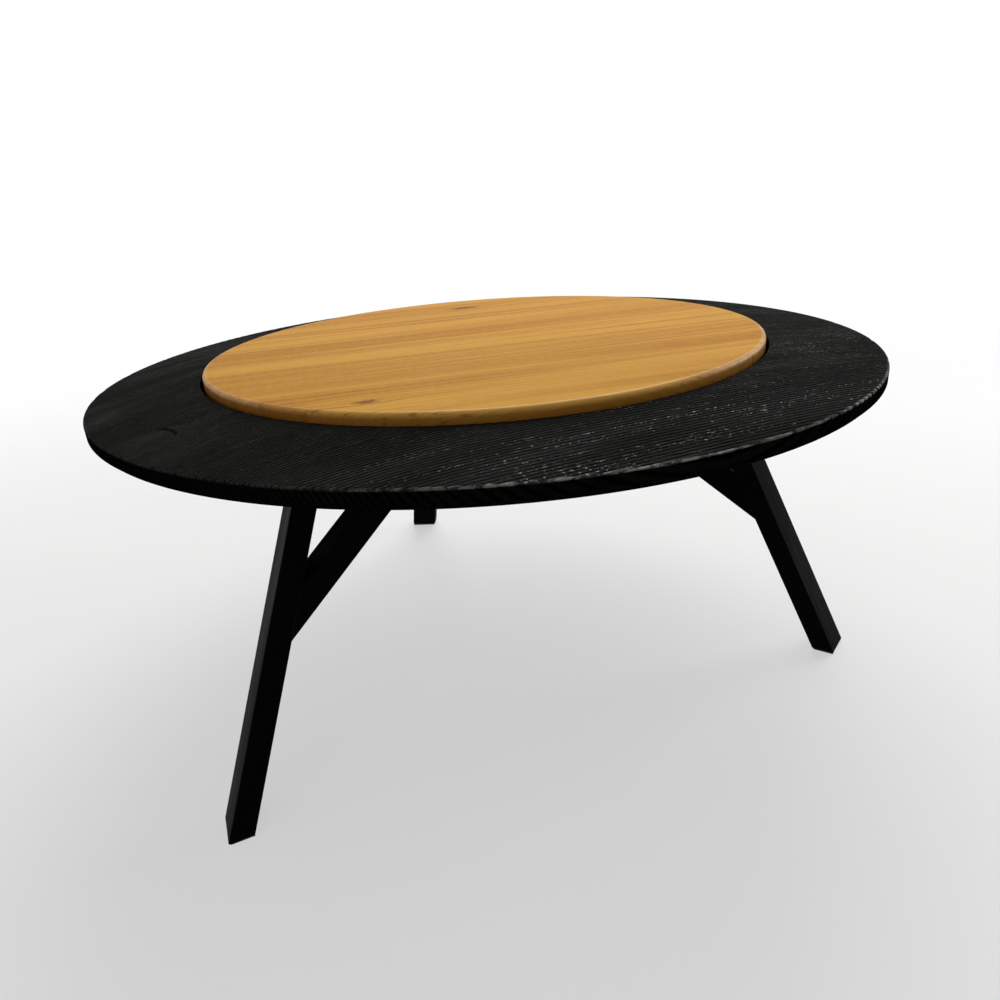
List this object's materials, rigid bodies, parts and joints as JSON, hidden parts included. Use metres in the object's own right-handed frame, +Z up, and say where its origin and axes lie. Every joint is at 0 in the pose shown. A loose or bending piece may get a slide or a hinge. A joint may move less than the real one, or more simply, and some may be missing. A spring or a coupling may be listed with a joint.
{
  "type": "coffee table",
  "caption": "Low round coffee table: a raised natural-wood turntable disc in a dark board ring, on splayed, braced legs.",
  "frame": {"origin": "on the floor under the centre of the round top", "axes": "+Z up along the turntable's axis; +Y towards the back leg; the picture looks from about -19 degrees of azimuth"},
  "size_m": [0.9, 0.9111, 0.4295],
  "materials": {
    "ring_wood": "brushed, charred black, satin oil",
    "disc_wood": "natural, satin oil",
    "frame_wood": "black stain, matt",
    "panel_wood": "black stain, matt",
    "dowel_wood": "plain beech",
    "race_metal": "plain",
    "steel": "zinc plated",
    "cage_plastic": "natural nylon",
    "glide_plastic": "matt"
  },
  "bodies": {
    "base": {"ring_board_1": "ring_wood", "ring_board_2": "ring_wood", "ring_board_3": "ring_wood", "ring_board_4": "ring_wood", "ring_board_5": "ring_wood", "ring_board_6": "ring_wood", "ring_board_7": "ring_wood", "ring_board_8": "ring_wood", "ring_board_9": "ring_wood", "ring_board_10": "ring_wood", "leg_1": "frame_wood", "leg_2": "frame_wood", "leg_3": "frame_wood", "brace_1": "frame_wood", "brace_2": "frame_wood", "brace_3": "frame_wood", "rail_1": "frame_wood", "rail_2": "frame_wood", "rail_3": "frame_wood", "foot_glide_1": "glide_plastic", "foot_glide_2": "glide_plastic", "foot_glide_3": "glide_plastic", "under_panel": "panel_wood", "bearing_fixed_race": "race_metal", "bearing_balls": "steel", "bearing_cage": "cage_plastic", "ring_screws": "steel", "rail_screws": "steel", "fixed_race_screws": "steel", "joint_dowels": "dowel_wood"},
    "turntable": {"disc_stave_1": "disc_wood", "disc_stave_2": "disc_wood", "disc_stave_3": "disc_wood", "disc_stave_4": "disc_wood", "disc_stave_5": "disc_wood", "disc_stave_6": "disc_wood", "disc_stave_7": "disc_wood", "disc_stave_8": "disc_wood", "bearing_turning_race": "race_metal", "turning_race_screws": "steel"}
  },
  "joints": [
    {"name": "disc_turn", "type": "hinge", "parent": "base", "child": "turntable", "pos_m": [0, 0, 0.40075], "axis": [0, 0, 1], "continuous": true}
  ]
}
